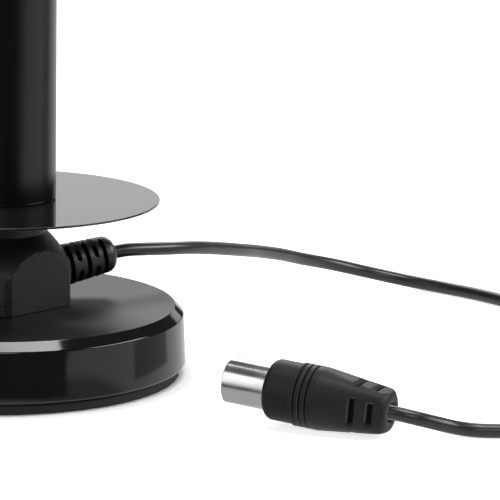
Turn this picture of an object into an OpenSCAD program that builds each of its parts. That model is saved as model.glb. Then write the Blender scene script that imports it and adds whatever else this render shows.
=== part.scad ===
// Indoor aerial: a round magnetic foot carries a five-sided block, a thin metal ground disc
// and an upright mast tube. The lead leaves the block through a segmented strain relief and
// ends in a coaxial plug. Millimetres, +Z up.
// The origin is the middle of the foot's underside, and +X runs out above the strain relief.

/* [Base] */
// Widest diameter of the base shell, at its lower edge
base_d = 82; // [76:1:100]
// How far the rim, where side and top chamfer meet, stands in from the lower edge
rim_in = 0.5; // [0:0.1:1.5]
// Width of the top chamfer
rim_run = 2; // [1:0.1:4]
// Height of the top face above the floor
base_h = 15.5; // [15:0.5:20]
// Height of the top chamfer
rim_drop = 2; // [1:0.1:3]
// Height of the small chamfer along the lower edge
edge_h = 0.9; // [0.4:0.1:1.5]
// How far that chamfer runs inwards
edge_in = 1.3; // [0.5:0.1:1.3]
// Thickness of the shell's side wall
shell_wall = 2.4; // [1.8:0.1:3]
// Thickness of the shell's top
shell_top = 2.5; // [2:0.1:3.5]

/* [Rubber foot] */
// Height of the lip that shows below the shell
foot_lip_h = 1.9; // [1.2:0.1:2.5]
// Thickness of the step that sits inside the shell
foot_seat_h = 1.1; // [0.8:0.1:1.5]
// How far the lip stands in from the shell's lower edge
foot_inset = 1.4; // [0.8:0.1:2.5]
// Bevel on the lip's lower edge
foot_bevel = 0.3; // [0.1:0.1:0.6]

/* [Magnet] */
// How far the yoke ring stands out round the magnet
magnet_step = 2; // [1:0.5:4]
// Free gap between the heads of the block's screws and the magnet's bore
bore_side = 0.95; // [0.3:0.05:3]
// Free gap between the yoke ring and the screw bosses
yoke_side = 0.5; // [0.3:0.1:2]
// Thickness of the yoke ring
yoke_h = 2; // [1:0.1:2]
// Width of the rib that presses on the yoke
rib_w = 2; // [1:0.1:4]
// Height of that rib below the shell's top
rib_h = 1.5; // [1:0.1:2.5]
// Thickness of the plastic bottom plate
plate_h = 1.5; // [1:0.1:2]

/* [Screws] */
// Shank diameter of the bottom plate's screws
plate_screw_d = 2.9; // [2.2:0.1:3]
// Head diameter of the bottom plate's screws
plate_screw_head = 5.4; // [4.4:0.1:5.6]
// Plastic left between those heads and the bottom plate's edge
plate_edge = 0.8; // [0.4:0.1:1.5]
// Wall of the screw bosses round their screws
boss_wall = 1.4; // [1:0.1:1.4]
// Shank diameter of the screws that hold the block
block_screw_d = 3; // [2.5:0.1:3.5]
// Head diameter of the block's screws
block_screw_head = 5.5; // [5:0.1:6]
// Head height of the block's screws
block_screw_head_h = 1.8; // [1.2:0.1:2]
// Distance of the block's screws from the centre
block_screw_r = 9.3; // [8.8:0.1:9.6]
// Length of the block's screws below their heads
block_screw_len = 9; // [7:0.5:10]

/* [Block] */
// Distance from the centre to each of the five flats
block_flat_r = 13.2; // [12.5:0.1:15]
// Width of the narrow flats at the corners
corner_w = 1.6; // [0.8:0.1:2.5]
// Radius of the round neck below the ground disc
neck_r = 10.4; // [9:0.1:11]
// Height of the neck
neck_h = 6.7; // [4:0.1:8]
// Height of the domed shoulder, from the neck down to the corners
shoulder_h = 10; // [8:0.1:11]
// How far the shoulder bulges out of a straight cone
shoulder_bulge = 0.8; // [0:0.1:1.2]
// Radius of the hollow inside the block
hollow_r = 6; // [5.5:0.1:6.2]
// Floor of that hollow, above the base's top face
hollow_floor = 2.8; // [2:0.1:3.5]

/* [Ground disc] */
// Diameter of the metal ground disc
disc_d = 70; // [50:1:90]
// Thickness of the ground disc
disc_t = 0.5; // [0.3:0.1:1]
// Height of the disc's underside above the base's top face
disc_gap = 22.8; // [20:0.1:30]

/* [Mast] */
// Height of the whole aerial
total_h = 240; // [180:5:300]
// Outer diameter of the mast tube
mast_d = 24.8; // [23.5:0.1:27]
// Wall of the mast tube
mast_wall = 1.2; // [0.8:0.1:1.4]
// Height of the collar between the disc and the tube
collar_h = 4.5; // [3:0.1:8]
// How far the collar's side lies inside the tube's side
collar_step = 0.1; // [0:0.05:0.4]
// Thickness of the collar's floor
collar_floor = 2.2; // [1.5:0.1:2.8]
// Height of the spigot that the tube is pushed on
spigot_h = 10; // [6:0.5:14]
// Wall of the spigot
spigot_wall = 1.2; // [0.8:0.1:1.2]
// Thickness of the cap above the tube
cap_h = 3; // [2:0.1:5]
// Rounding of the cap's upper edge
cap_round = 1.4; // [0.5:0.1:1.8]
// Depth of the cap's plug in the tube
cap_plug_h = 8; // [5:0.5:12]

/* [Inner parts] */
// Outer diameter of the hollow threaded stud
stud_d = 10; // [9.6:0.1:10.2]
// Bore of the stud
stud_bore = 6.8; // [4:0.1:7.4]
// Length of the stud in the block's neck
stud_grip = 7.3; // [5:0.1:7.7]
// Length of the stud above the nut
stud_over = 0.6; // [0.2:0.1:1.5]
// Free gap between the nut's corners and the spigot's bore
nut_side = 0.7; // [0.3:0.1:2]
// Height of the nut
nut_h = 4; // [3:0.1:4.5]
// Thickness of the matching board
board_h = 1.6; // [1:0.1:2]
// Diameter of the brass radiator
rod_d = 6; // [4:0.1:8]
// Free height between the radiator's tip and the cap
rod_top_gap = 11; // [9:0.5:20]
// Height of the two spacers that centre the radiator
spacer_h = 8; // [5:0.5:12]
// Wall of a spacer's hub
spacer_hub = 1.5; // [1:0.1:2.5]
// Wall left outside a spacer's holes
spacer_rim = 1; // [0.8:0.1:2]
// Height of the lower spacer above the collar
spacer_low = 70; // [40:1:90]
// Distance of the upper spacer below the radiator's tip
spacer_down = 25; // [15:1:40]

/* [Strain relief] */
// Height above the base's top face where the relief's axis meets the mast's axis
relief_up = 4.6; // [4:0.1:5.5]
// Upward tilt of the relief, in degrees
relief_tilt = 8.4; // [4:0.1:10]
// Distance of the tip from the mast's axis
relief_reach = 28; // [24:0.5:34]
// Diameter at the block's face
relief_root_d = 9.5; // [8.5:0.1:10.5]
// Diameter before the rounded tip
relief_tip_d = 8.2; // [7:0.1:8.8]
// Rounding of the tip
relief_round = 2; // [1:0.1:2.4]
// Diameter of the stem inside the block
stem_d = 6; // [5:0.1:6.4]
// Width of the slots
slot_w = 0.95; // [0.6:0.05:1.2]
// Distance between neighbouring slots
slot_pitch = 2.12; // [1.9:0.01:2.2]
// Distance of the first slot from the mast's axis
slot_first = 16.1; // [15.8:0.1:16.6]
// Diameter left between the slots
slot_core_d = 4.6; // [3.8:0.1:5.4]
// Angle of the webs between two slots of one ring, in degrees
web_angle = 30; // [15:1:50]

/* [Lead] */
// Diameter of the lead
cord_d = 3; // [2.5:0.1:3.2]
// Inner radius of the stored coil
coil_in = 12; // [10:0.5:13]
// Outer radius of the stored coil
coil_out = 24; // [23:0.5:24]
// Full layers of turns in the stored coil, below one more turn on top
coil_layers = 3; // [2:1:4]
// Width of the tie round the coil
tie_w = 8; // [5:0.5:12]
// Thickness of the tie
tie_t = 0.5; // [0.3:0.1:0.8]

/* [Plug] */
// Outer diameter of the metal sleeve
sleeve_d = 9.5; // [9.4:0.05:9.6]
// Wall of the metal sleeve
sleeve_wall = 0.6; // [0.4:0.05:0.8]
// Length of sleeve that shows
sleeve_len = 9.5; // [8:0.1:12]
// Length of sleeve held inside the grip
sleeve_seat = 6; // [4:0.5:8]
// How far that seated end is turned down, so that the grip grips behind a shoulder
sleeve_key = 0.2; // [0.1:0.05:0.25]
// Diameter of the centre pin
pin_d = 2.4; // [2.2:0.05:2.5]
// Distance of the pin's tip behind the sleeve's end
pin_back = 0.8; // [0.3:0.1:2]
// Depth of the insulator behind the sleeve's end
insulator_back = 6; // [4:0.5:8]
// Diameter of the grip's front part
grip_d = 12.8; // [12:0.1:13]
// Rounding of the grip's front edge
grip_round = 1.6; // [0.8:0.1:2.4]
// Diameter of the raised ring band
band_d = 13.3; // [13.2:0.1:14]
// Start of the band behind the sleeve's end
band_at = 16.1; // [15.8:0.1:17]
// Length of the band
band_len = 5.2; // [4.8:0.1:5.4]
// Pitch of the band's three grooves
groove_pitch = 1.35; // [1.2:0.05:1.5]
// Width and depth of those grooves
groove_w = 0.5; // [0.3:0.05:0.7]
// Whole length of the plug
plug_len = 36.5; // [36:0.5:42]
// Width of the squared tail at its end
tail_w = 8.8; // [8:0.1:9.5]
// Corner rounding of the squared tail
tail_round = 1.4; // [1:0.1:2.5]
// Width of the slots in the tail
tail_slot_w = 1.1; // [0.8:0.1:1.5]
// Distance of the slots from the tail's end
tail_slot_back = [3.4, 7.2];
// Length of those slots across the face
tail_slot_len = [4.6, 6];
// Depth of the recess round the lead at the tail
tail_recess = 1.8; // [1:0.1:2.5]

/* [Hidden] */
$fn = 96;
eps = 0.01;
// Clearances: a pushed fit, a screw in its hole, and a part laid in a recess
push_gap = 0.1;
screw_gap = 0.05;
lay_gap = 0.2;
screw_count = 3;

// Levels of the base, from the floor up
seat_z = foot_lip_h + foot_seat_h;
magnet_z = seat_z + plate_h;
ceiling_z = base_h - shell_top;
rib_z = ceiling_z - rib_h;
yoke_z = rib_z - yoke_h;
magnet_h = yoke_z - magnet_z;
rim_r = base_d / 2 - rim_in;
wall_low_r = base_d / 2 - shell_wall;
wall_high_r = rim_r - shell_wall;
plate_r = wall_low_r - lay_gap;
plate_screw_r = plate_r - plate_edge - push_gap - plate_screw_head / 2;
boss_r = plate_screw_d / 2 + screw_gap + boss_wall;
yoke_r = plate_screw_r - boss_r - yoke_side;
magnet_r = yoke_r - magnet_step;
bore_r = block_screw_r + block_screw_head / 2 + bore_side;

// Levels above the base
disc_z = base_h + disc_gap;
collar_z = disc_z + disc_t;
nut_z = collar_z + collar_floor;
tube_z = collar_z + collar_h;
tube_top = total_h - cap_h;
board_z = tube_z + spigot_h;
tube_in_r = mast_d / 2 - mast_wall;
spigot_r = tube_in_r - push_gap;
spigot_in_r = spigot_r - spigot_wall;
shoulder_top = disc_z - neck_h;
block_out_r = block_flat_r / cos(36);
stud_low = disc_z - stud_grip;
rod_z = board_z + board_h;
rod_top = tube_top - rod_top_gap;

// The relief's axis, and stations along it counted from the mast's axis
relief_z = base_h + relief_up;
stem_in = hollow_r;
relief_cut = block_flat_r / cos(relief_tilt);

// The plug lies on the floor on its band, with its front towards the base
plug_turn = -53.6;
plug_dip = 4.5;
plug_rest_z = band_d / 2 * cos(plug_dip) + (band_at + band_len) * sin(plug_dip);
plug_front = [25, -59, plug_rest_z];
plug_dir = [cos(plug_turn) * cos(plug_dip), sin(plug_turn) * cos(plug_dip), -sin(plug_dip)];
relief_dir = [cos(relief_tilt), 0, sin(relief_tilt)];

// Route of the lead from the relief's tip to the coil
lead_out_tip = [0, 0, relief_z] + relief_reach * relief_dir;
lead_out_route = concat([for (d = [0, 1.5, 4]) lead_out_tip + d * relief_dir],
    [[36, 0.2, 24.8], [42, 1, 24], [50, 4, 22.6], [60, 10, 20.8], [70, 17, 18.6],
     [80, 25, 15.9], [90, 32, 12.8], [100, 38, 9.4], [110, 41, 6.4], [119, 40, 3.9],
     [127, 34, 2.1], [132, 26, 1.5], [135, 17, 1.5], [137, 8, 1.5], [138, -1, 1.5],
     [137, -10, 1.5], [134, -18, 1.5], [130, -24.5, 1.5]]);
// Route from the plug's tail to the coil
lead_in_tail = plug_front + (plug_len - tail_recess) * plug_dir;
lead_in_route = concat([for (d = [0, 1.5, 3.5]) lead_in_tail + d * plug_dir],
    [[50.5, -92, 4.6], [54.5, -93, 3.4], [58.5, -93.5, 2.2], [62.5, -95, 1.5], [67, -98, 1.5],
     [73, -101, 1.5], [82, -100, 1.5], [91, -93.5, 1.5], [99.5, -84.5, 2.6],
     [107, -75.5, 4.9], [113, -66.5, 7.7], [117.6, -59.5, 9.7], [122.1, -51.1, 10.45]]);
coil_centre = [145, -45, 0];
coil_top = (coil_layers + 1) * cord_d;
// Outline of the wound turns, in radius and height
coil_outline = [[coil_in, 0], [coil_out, 0], [coil_out, coil_top - 1.2 * cord_d],
    [coil_in + 1.7 * cord_d, coil_top], [coil_in + 0.3 * cord_d, coil_top],
    [coil_in, coil_top - 0.3 * cord_d]];
// Direction from the coil's centre to its tie
tie_turn = -25;
lead_sides = 8;

// Inner lead, from the relief's stem up through the stud to the board
feed_start = [0, 0, relief_z] + stem_in * relief_dir;
feed_route = concat([for (d = [0, 1, 2]) feed_start - d * relief_dir],
    [[1.7, 0, 21.6], [0.3, 0, 24], [0, 0, 27], [0, 0, 35], [0, 0, board_z]]);

function unit(v) = v / norm(v);
// Point i of n + 1 along a curve from a to b that bulges by s to the left of a-b
function bulged(a, b, s, n) = let (side = unit([b[1] - a[1], a[0] - b[0]]))
    [for (i = [0:n]) let (t = i / n) a + t * (b - a) - side * 4 * s * t * (1 - t)];
// Quarter arc of radius r about c, from angle a0 to a1
function arc(c, r, a0, a1, n) = [for (i = [0:n]) let (a = a0 + (a1 - a0) * i / n)
    c + r * [cos(a), sin(a)]];
// Smooth curve through the points p, with k steps on each stretch
function through(a, b, c, d, t) = 0.5 * (2 * b + (c - a) * t
    + (2 * a - 5 * b + 4 * c - d) * t * t + (3 * b - a - 3 * c + d) * t * t * t);
function smooth(p, k) = let (n = len(p) - 1) concat([for (i = [0:n - 1]) for (j = [0:k - 1])
    through(p[max(i - 1, 0)], p[i], p[i + 1], p[min(i + 2, n)], j / k)], [p[n]]);
function along(p, i) = unit(p[min(i + 1, len(p) - 1)] - p[max(i - 1, 0)]);
// Outline p, a closed one that runs counterclockwise, with its edges moved out by g
function grown(p, g) = let (n = len(p)) [for (i = [0:n - 1])
    let (a = unit(p[i] - p[(i + n - 1) % n]), b = unit(p[(i + 1) % n] - p[i]))
        p[i] + g / (1 + a * b) * [a[1] + b[1], -a[0] - b[0]]];
// Corners of a five-sided outline with its corners cut off by narrow flats
function block_outline(r, w) = let (half = r * tan(36) - w / 2 / cos(36))
    [for (k = [0:4]) for (s = [-1, 1]) let (a = 72 * k)
        [r * cos(a) - s * half * sin(a), r * sin(a) + s * half * cos(a)]];

// A tube of radius r along the points p, its rings set square to the route
module swept(p, r, ref = [0, 0, 1]) {
    n = lead_sides;
    m = len(p);
    rings = [for (i = [0:m - 1]) let (t = along(p, i), s = unit(cross(t, ref)), u = cross(s, t))
        for (j = [0:n - 1]) p[i] + r * (cos(360 * j / n) * s + sin(360 * j / n) * u)];
    ends = [[for (j = [0:n - 1]) j], [for (j = [n - 1:-1:0]) (m - 1) * n + j]];
    walls = [for (i = [0:m - 2]) for (j = [0:n - 1]) let (k = (j + 1) % n)
        each [[i * n + j, (i + 1) * n + j, i * n + k],
              [(i + 1) * n + j, (i + 1) * n + k, i * n + k]]];
    polyhedron(points = rings, faces = concat(ends, walls));
}

module ring(r_out, r_in, h) {
    difference() {
        cylinder(r = r_out, h = h);
        translate([0, 0, -1]) cylinder(r = r_in, h = h + 2);
    }
}

// Frame along the strain relief: local Z runs out of the block
module on_relief() {
    translate([0, 0, relief_z]) rotate([0, 90 - relief_tilt, 0]) children();
}

// Frame along the plug: local Z runs from the sleeve's end to the tail
module on_plug() {
    translate(plug_front) rotate([0, 90 + plug_dip, plug_turn]) children();
}

module at_plate_screw(i) {
    rotate([0, 0, 60 + 360 / screw_count * i]) translate([plate_screw_r, 0, 0]) children();
}

module at_block_screw(i) {
    rotate([0, 0, 60 + 360 / screw_count * i]) translate([block_screw_r, 0, 0]) children();
}

module base_shell() {
    low_r = base_d / 2;
    color([0.09, 0.09, 0.09]) difference() {
        union() {
            difference() {
                rotate_extrude() polygon([[0, foot_lip_h], [low_r - edge_in, foot_lip_h],
                    [low_r, foot_lip_h + edge_h], [rim_r, base_h - rim_drop],
                    [rim_r - rim_run, base_h], [0, base_h]]);
                rotate_extrude() polygon([[0, 0], [wall_low_r, 0],
                    [wall_low_r, foot_lip_h + edge_h], [wall_high_r, ceiling_z - rim_drop / 2],
                    [wall_high_r - rim_drop / 2, ceiling_z], [0, ceiling_z]]);
            }
            for (i = [0:screw_count - 1]) at_plate_screw(i)
                translate([0, 0, magnet_z]) cylinder(r = boss_r, h = ceiling_z - magnet_z + eps);
            translate([0, 0, rib_z])
                ring(magnet_r - rib_w, magnet_r - 2 * rib_w, ceiling_z - rib_z + eps);
        }
        for (i = [0:screw_count - 1]) {
            at_plate_screw(i) translate([0, 0, magnet_z - 1])
                cylinder(d = plate_screw_d + 2 * screw_gap, h = ceiling_z - magnet_z);
            at_block_screw(i) translate([0, 0, ceiling_z - 1])
                cylinder(d = block_screw_d + 2 * push_gap, h = shell_top + 2);
        }
    }
}

module magnet_yoke() {
    color([0.62, 0.63, 0.65]) translate([0, 0, yoke_z]) ring(yoke_r, bore_r, yoke_h);
}

module ring_magnet() {
    color([0.2, 0.2, 0.21]) translate([0, 0, magnet_z])
        ring(magnet_r, bore_r, magnet_h);
}

module bottom_plate() {
    color([0.12, 0.12, 0.12]) difference() {
        translate([0, 0, seat_z]) cylinder(r = plate_r, h = plate_h);
        for (i = [0:screw_count - 1]) at_plate_screw(i) translate([0, 0, seat_z]) {
            cylinder(d1 = plate_screw_head + 2 * push_gap, d2 = plate_screw_d + 2 * push_gap,
                h = plate_h - eps);
            translate([0, 0, -1]) cylinder(d = plate_screw_d + 2 * push_gap, h = plate_h + 2);
        }
    }
}

// Countersunk screw with a cross recess, its head's face at z = 0
module plate_screw(i) {
    head_h = plate_h - 2 * push_gap;
    color([0.7, 0.7, 0.72]) at_plate_screw(i) translate([0, 0, seat_z]) difference() {
        union() {
            cylinder(d1 = plate_screw_head, d2 = plate_screw_d, h = head_h);
            cylinder(d = plate_screw_d, h = ceiling_z - seat_z - 1.5);
        }
        for (a = [0, 90]) rotate([0, 0, a]) translate([-1.2, -0.25, -1]) cube([2.4, 0.5, 1.7]);
    }
}

module rubber_foot() {
    lip_r = base_d / 2 - foot_inset;
    color([0.15, 0.15, 0.15]) rotate_extrude() polygon([[0, 0], [lip_r - foot_bevel, 0],
        [lip_r, foot_bevel], [lip_r, foot_lip_h], [plate_r, foot_lip_h],
        [plate_r, seat_z], [0, seat_z]]);
}

// Pan-head screw from inside the base up into the block
module block_screw(i) {
    color([0.7, 0.7, 0.72]) at_block_screw(i) translate([0, 0, ceiling_z]) {
        rotate_extrude() polygon([[0, -block_screw_head_h],
            [block_screw_head / 2 - 0.8, -block_screw_head_h],
            [block_screw_head / 2, -block_screw_head_h + 0.8],
            [block_screw_head / 2, 0], [block_screw_d / 2, 0],
            [block_screw_d / 2, block_screw_len - 0.5], [block_screw_d / 2 - 0.5, block_screw_len],
            [0, block_screw_len]]);
    }
}

module socket_block() {
    corner_r = block_out_r + 0.1;
    color([0.13, 0.13, 0.13]) difference() {
        intersection() {
            translate([0, 0, base_h]) linear_extrude(disc_z - base_h)
                polygon(block_outline(block_flat_r, corner_w));
            rotate_extrude() polygon(concat([[0, base_h], [corner_r, base_h]],
                bulged([corner_r, shoulder_top - shoulder_h], [neck_r, shoulder_top],
                    shoulder_bulge, 8),
                [[neck_r, disc_z], [0, disc_z]]));
        }
        translate([0, 0, base_h + hollow_floor])
            cylinder(r = hollow_r, h = stud_low - base_h - hollow_floor);
        translate([0, 0, stud_low - 1]) cylinder(d = stud_d + 2 * screw_gap, h = stud_grip + 2);
        on_relief() translate([0, 0, hollow_r / 2])
            cylinder(d = stem_d + 2 * push_gap, h = block_out_r);
        for (i = [0:screw_count - 1]) at_block_screw(i) translate([0, 0, base_h - 1])
            cylinder(d = block_screw_d + 2 * screw_gap, h = block_screw_len - shell_top + 1.5);
    }
}

module ground_disc() {
    color([0.72, 0.72, 0.72]) translate([0, 0, disc_z])
        ring(disc_d / 2, stud_d / 2 + push_gap, disc_t);
}

module mast_stud() {
    color([0.75, 0.68, 0.45]) translate([0, 0, stud_low])
        ring(stud_d / 2, stud_bore / 2, nut_z + nut_h + stud_over - stud_low);
}

module stud_nut() {
    color([0.75, 0.68, 0.45]) translate([0, 0, nut_z]) difference() {
        cylinder(r = spigot_in_r - nut_side, h = nut_h, $fn = 6);
        translate([0, 0, -1]) cylinder(r = stud_d / 2 + screw_gap, h = nut_h + 2);
    }
}

module mast_collar() {
    collar_r = mast_d / 2 - collar_step;
    color([0.11, 0.11, 0.11]) difference() {
        union() {
            translate([0, 0, collar_z]) cylinder(r = collar_r, h = collar_h);
            translate([0, 0, collar_z]) cylinder(r = spigot_r, h = collar_h + spigot_h);
        }
        translate([0, 0, nut_z]) cylinder(r = spigot_in_r, h = collar_h + spigot_h);
        translate([0, 0, collar_z - 1]) cylinder(r = stud_d / 2 + push_gap, h = collar_h);
    }
}

module mast_tube() {
    color([0.11, 0.11, 0.11]) translate([0, 0, tube_z])
        ring(mast_d / 2, tube_in_r, tube_top - tube_z);
}

module mast_cap() {
    color([0.1, 0.1, 0.1]) rotate_extrude() polygon(concat([[0, tube_top],
        [spigot_in_r, tube_top], [spigot_in_r, tube_top - cap_plug_h],
        [spigot_r, tube_top - cap_plug_h], [spigot_r, tube_top], [mast_d / 2, tube_top]],
        arc([mast_d / 2 - cap_round, total_h - cap_round], cap_round, 0, 90, 6),
        [[0, total_h]]));
}

module matching_board() {
    color([0.1, 0.32, 0.18]) translate([0, 0, board_z])
        cylinder(r = tube_in_r - lay_gap, h = board_h);
}

module radiator_rod() {
    color([0.8, 0.62, 0.3]) translate([0, 0, rod_z]) cylinder(d = rod_d, h = rod_top - rod_z);
}

// Moulded disc with a hub for the radiator and three weight-saving holes
module rod_spacer(z) {
    hub_r = rod_d / 2 + spacer_hub;
    hole_r = (spigot_r - spacer_rim - hub_r) / 2;
    color([0.85, 0.85, 0.82]) translate([0, 0, z]) difference() {
        ring(spigot_r, rod_d / 2 + push_gap, spacer_h);
        for (a = [0, 120, 240]) rotate([0, 0, a]) translate([hub_r + hole_r, 0, -1])
            cylinder(r = hole_r, h = spacer_h + 2);
    }
}

// Two opposite slots of one ring, their middles at angle turn and at turn + 180
module slot_pair(z, turn) {
    sweep = 180 - web_angle;
    for (a = [0, 180]) translate([0, 0, z - slot_w / 2]) rotate([0, 0, turn + a - sweep / 2])
        rotate_extrude(angle = sweep) translate([slot_core_d / 2, 0])
            square([relief_root_d, slot_w]);
}

module strain_relief() {
    tip_r = relief_tip_d / 2;
    color([0.14, 0.14, 0.14]) union() {
        difference() {
            on_relief() difference() {
                rotate_extrude() polygon(concat([[0, relief_cut - 2],
                    [relief_root_d / 2, relief_cut - 2]],
                    arc([tip_r - relief_round, relief_reach - relief_round], relief_round, 0, 90, 6),
                    [[0, relief_reach]]));
                for (k = [0:4]) slot_pair(slot_first + k * slot_pitch, k % 2 == 0 ? 90 : 0);
            }
            translate([-block_flat_r, -block_flat_r, 0])
                cube([2 * block_flat_r, 2 * block_flat_r, 3 * relief_z]);
        }
        on_relief() translate([0, 0, stem_in]) cylinder(d = stem_d, h = relief_cut - stem_in + 1);
    }
}

module feed_lead() {
    color([0.16, 0.16, 0.16]) swept(smooth(feed_route, 2), cord_d / 2, [0, 1, 0]);
}

module lead_out() {
    color([0.12, 0.12, 0.12]) swept(smooth(lead_out_route, 2), cord_d / 2);
}

module lead_in() {
    color([0.12, 0.12, 0.12]) swept(smooth(lead_in_route, 2), cord_d / 2);
}

// The coil is drawn in by the tie's thickness where the tie goes round it
module lead_coil() {
    color([0.12, 0.12, 0.12]) translate(coil_centre) difference() {
        rotate_extrude() polygon(coil_outline);
        rotate([0, 0, tie_turn]) tie_band(-tie_t - screw_gap, 1);
    }
}

// Flat band round the coil, from lo to hi outside its outline
module tie_band(lo, hi) {
    translate([0, tie_w / 2, 0]) rotate([90, 0, 0]) linear_extrude(tie_w) difference() {
        polygon(grown(coil_outline, hi));
        polygon(grown(coil_outline, lo));
    }
}

module coil_tie() {
    color([0.1, 0.1, 0.1]) translate(coil_centre) rotate([0, 0, tie_turn]) tie_band(-tie_t, 0);
}

module plug_sleeve() {
    color([0.8, 0.8, 0.8]) on_plug() difference() {
        union() {
            cylinder(d = sleeve_d, h = sleeve_len);
            cylinder(d = sleeve_d - 2 * sleeve_key, h = sleeve_len + sleeve_seat);
        }
        translate([0, 0, -1]) cylinder(d = sleeve_d - 2 * sleeve_wall,
            h = sleeve_len + sleeve_seat + 2);
    }
}

module plug_pin() {
    pin_len = sleeve_len + sleeve_seat - pin_back;
    color([0.8, 0.8, 0.8]) on_plug() translate([0, 0, pin_back]) rotate_extrude()
        polygon(concat([[0, pin_len], [pin_d / 2, pin_len]],
            arc([0, pin_d / 2], pin_d / 2, 0, -90, 6)));
}

module plug_insulator() {
    color([0.9, 0.9, 0.88]) on_plug() translate([0, 0, insulator_back])
        ring(sleeve_d / 2 - sleeve_wall - screw_gap, pin_d / 2 + screw_gap,
            sleeve_len + sleeve_seat - insulator_back);
}

// Cross-section of the squared tail, of width w
module tail_slab(w, h) {
    linear_extrude(h) offset(r = tail_round, $fn = 32) square(w - 2 * tail_round, center = true);
}

module plug_grip() {
    band_end = band_at + band_len;
    grip_r = grip_d / 2;
    tail_r = tail_w / 2;
    // Half width of the tail at a station s, for the depth of its slots
    function tail_half(s) = band_d / 2 + (tail_r - band_d / 2) * (s - band_end) / (plug_len - band_end);
    color([0.17, 0.17, 0.17]) on_plug() difference() {
        union() {
            rotate_extrude() polygon(concat([[0, sleeve_len]],
                arc([grip_r - grip_round, sleeve_len + grip_round], grip_round, -90, 0, 6),
                [[grip_r, band_at], [band_d / 2, band_at], [band_d / 2, band_end], [0, band_end]]));
            intersection() {
                hull() {
                    translate([0, 0, band_end - eps]) cylinder(d = band_d, h = eps, $fn = 48);
                    translate([0, 0, plug_len - 0.5]) tail_slab(tail_w, 0.5);
                }
                rotate_extrude($fn = 48) polygon(concat([[0, band_end - 1], [grip_d, band_end - 1]],
                    [[grip_d, plug_len - 3]],
                    [for (i = [0:6]) let (a = 90 / 6 * i)
                        [tail_r + 1.4 - 2.6 * (1 - cos(a)), plug_len - 2.6 + 2.6 * sin(a)]],
                    [[0, plug_len]]));
            }
        }
        translate([0, 0, sleeve_len - 1])
            cylinder(d = sleeve_d - 2 * sleeve_key + 2 * screw_gap, h = sleeve_seat + 1);
        for (k = [0:2]) translate([0, 0, band_at + 0.6 + k * groove_pitch])
            ring(band_d, band_d / 2 - groove_w, groove_w);
        for (k = [0:1]) for (a = [0:90:270]) rotate([0, 0, a])
            translate([tail_half(plug_len - tail_slot_back[k]) - 1.1, -tail_slot_len[k] / 2,
                plug_len - tail_slot_back[k] - tail_slot_w / 2])
                cube([4, tail_slot_len[k], tail_slot_w]);
        translate([0, 0, plug_len - tail_recess]) cylinder(d = cord_d + 1.8, h = tail_recess + 1);
    }
}

base_shell();
magnet_yoke();
ring_magnet();
bottom_plate();
for (i = [1:screw_count]) plate_screw(i - 1);
rubber_foot();
for (i = [1:screw_count]) block_screw(i - 1);
socket_block();
ground_disc();
mast_stud();
stud_nut();
mast_collar();
mast_tube();
mast_cap();
matching_board();
radiator_rod();
rod_spacer(tube_z + spacer_low);  // lower_spacer
rod_spacer(rod_top - spacer_down - spacer_h);  // upper_spacer
strain_relief();
feed_lead();
lead_out();
lead_coil();
coil_tie();
lead_in();
plug_sleeve();
plug_pin();
plug_insulator();
plug_grip();
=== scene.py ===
import bpy
import numpy as np
from mathutils import Matrix


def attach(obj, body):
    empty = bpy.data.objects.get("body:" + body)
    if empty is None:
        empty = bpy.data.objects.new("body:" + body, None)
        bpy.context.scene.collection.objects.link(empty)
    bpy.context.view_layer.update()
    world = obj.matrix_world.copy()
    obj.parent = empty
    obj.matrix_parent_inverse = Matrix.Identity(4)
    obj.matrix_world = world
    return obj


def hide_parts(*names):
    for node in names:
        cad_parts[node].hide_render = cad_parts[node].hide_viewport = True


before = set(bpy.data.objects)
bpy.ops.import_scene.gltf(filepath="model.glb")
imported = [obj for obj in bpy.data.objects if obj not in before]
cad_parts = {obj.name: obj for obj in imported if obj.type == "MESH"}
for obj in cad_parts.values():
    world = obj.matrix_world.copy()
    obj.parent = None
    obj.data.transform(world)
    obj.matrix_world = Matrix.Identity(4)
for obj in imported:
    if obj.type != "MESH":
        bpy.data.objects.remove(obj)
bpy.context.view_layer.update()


# Camera
# A long lens 77 cm away looks 11.5 degrees down on the strain relief's side of the base. The
# picture cuts off the mast above and the left half of the base, as the photograph does.
mm = 0.001
view_turn, yaw, pitch, roll = np.radians(-25.6), 0.0731, 0.2011, 0.0157
lens_mm, sensor_mm = 252, 36
eye_back, eye_height = 750 * mm, 180.5 * mm
clip_near, clip_far = 0.05, 20


def turned(points, angle):
    """Points turned counterclockwise by angle about the mast's axis."""
    c, s = np.cos(angle), np.sin(angle)
    return np.asarray(points, float) @ np.array([[c, s, 0], [-s, c, 0], [0, 0, 1]])


ahead = np.array([np.sin(yaw) * np.cos(pitch), np.cos(yaw) * np.cos(pitch), -np.sin(pitch)])
level = np.array([np.cos(yaw), -np.sin(yaw), 0])
upright = np.cross(level, ahead)
picture_x = np.cos(roll) * level + np.sin(roll) * upright
picture_y = np.cos(roll) * upright - np.sin(roll) * level
camera = bpy.data.objects.new("product_camera", bpy.data.cameras.new("product_camera"))
camera.data.lens, camera.data.sensor_width = lens_mm, sensor_mm
camera.data.clip_start, camera.data.clip_end = clip_near, clip_far
camera_axes = np.eye(4)
camera_axes[:3, :3] = turned([picture_x, picture_y, -ahead], view_turn).T
camera_axes[:3, 3] = turned([0, -eye_back, eye_height], view_turn)
camera.matrix_world = Matrix(camera_axes.tolist())
bpy.context.collection.objects.link(camera)
bpy.context.scene.camera = camera
bpy.context.scene.view_settings.view_transform = "Standard"


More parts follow.
